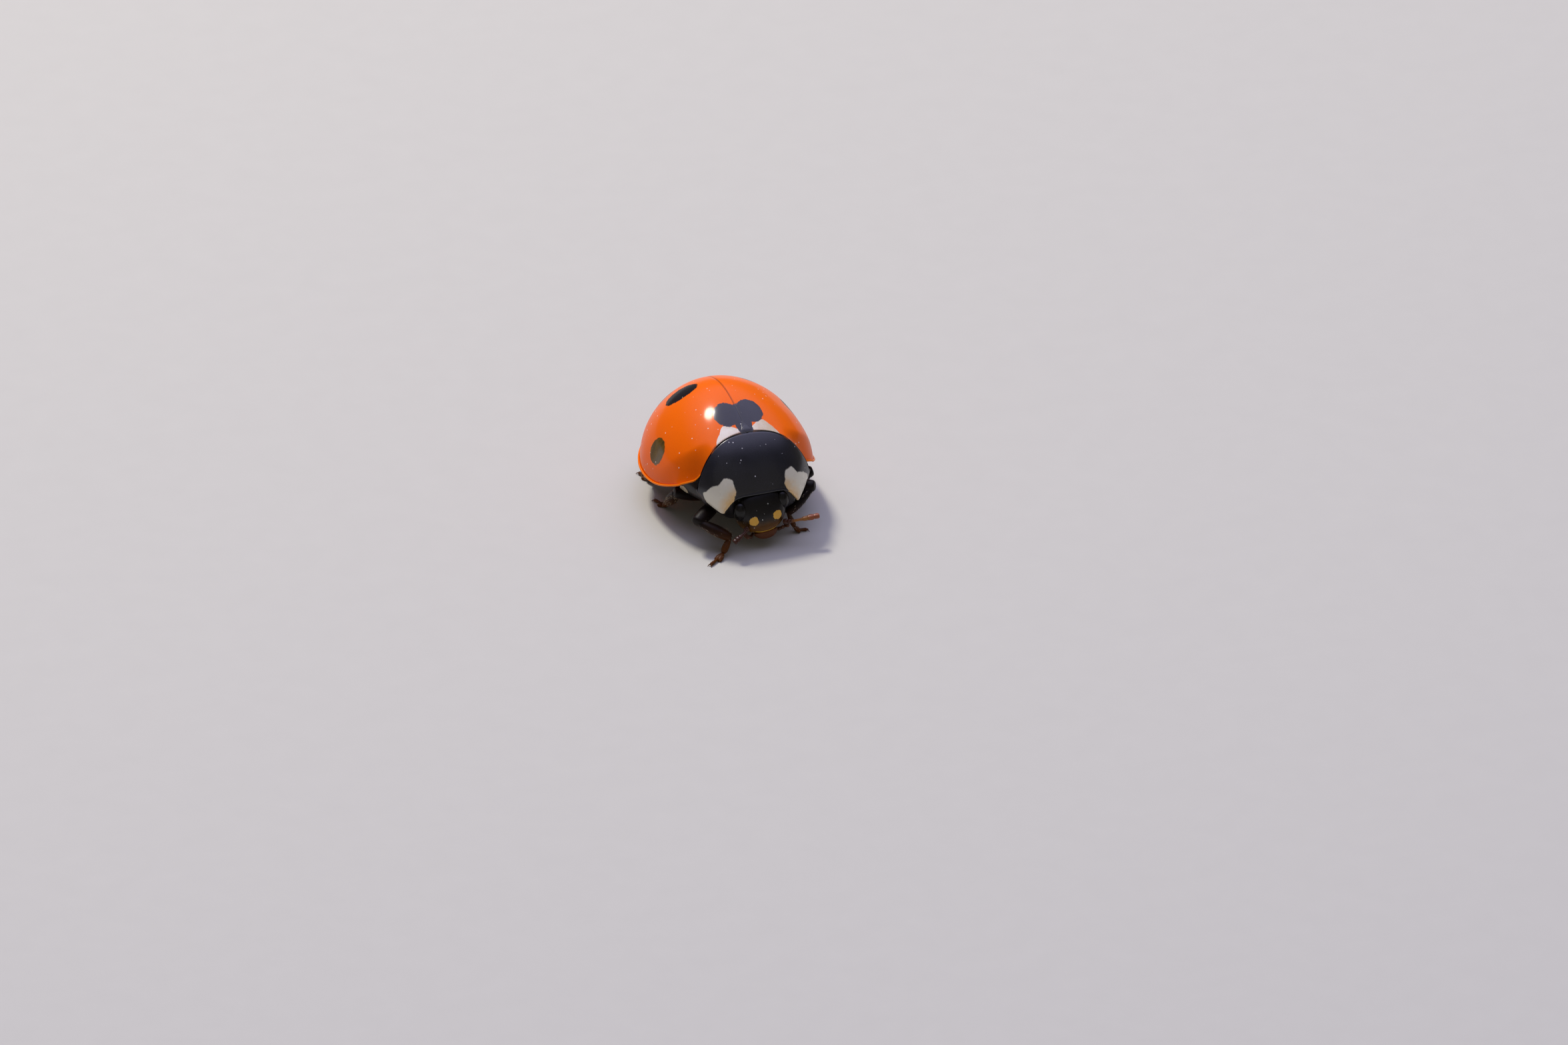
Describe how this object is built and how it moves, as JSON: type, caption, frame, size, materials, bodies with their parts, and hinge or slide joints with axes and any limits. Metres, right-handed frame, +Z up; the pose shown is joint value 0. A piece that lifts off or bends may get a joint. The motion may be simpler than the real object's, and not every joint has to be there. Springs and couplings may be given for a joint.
{
  "type": "seven-spot ladybird",
  "caption": "Life-size seven-spot ladybird standing with its head lowered: domed orange-red wing cases with black spots over a black body.",
  "frame": {"origin": "on the floor under the centre of the animal's bounding box", "axes": "+Z up, head towards -Y, the animal's right side towards -X"},
  "size_m": [0.0058, 0.008, 0.0041],
  "materials": {
    "elytra": "glossy orange-red with black spots and two white base patches",
    "shield": "glossy blue-black, white patches on the front angles",
    "head": "glossy black with fine pits, two pale yellow spots",
    "eye": "glossy black, finely faceted",
    "clypeus": "translucent yellow-brown",
    "mouth": "dark brown horn",
    "antenna": "yellow-brown with a darker club",
    "leg": "black with pale bristles",
    "underside": "black, finely downy"
  },
  "bodies": {
    "root": {"elytron_right": "elytra", "elytron_left": "elytra", "scutellum": "shield", "pronotum": "shield", "prothorax": "underside", "thorax": "underside", "abdomen": "underside", "head": "head", "clypeus": "clypeus", "labrum": "mouth", "mouthparts": "mouth", "eye_right": "eye", "eye_left": "eye", "palp_right": "mouth", "palp_left": "mouth", "antenna_right": "antenna", "antenna_left": "antenna", "fore_right_femur": "leg", "fore_right_tibia": "leg", "fore_right_tarsus": "leg", "fore_left_femur": "leg", "fore_left_tibia": "leg", "fore_left_tarsus": "leg", "mid_right_femur": "leg", "mid_right_tibia": "leg", "mid_right_tarsus": "leg", "mid_left_femur": "leg", "mid_left_tibia": "leg", "mid_left_tarsus": "leg", "hind_right_femur": "leg", "hind_right_tibia": "leg", "hind_right_tarsus": "leg", "hind_left_femur": "leg", "hind_left_tibia": "leg", "hind_left_tarsus": "leg"}
  },
  "joints": []
}
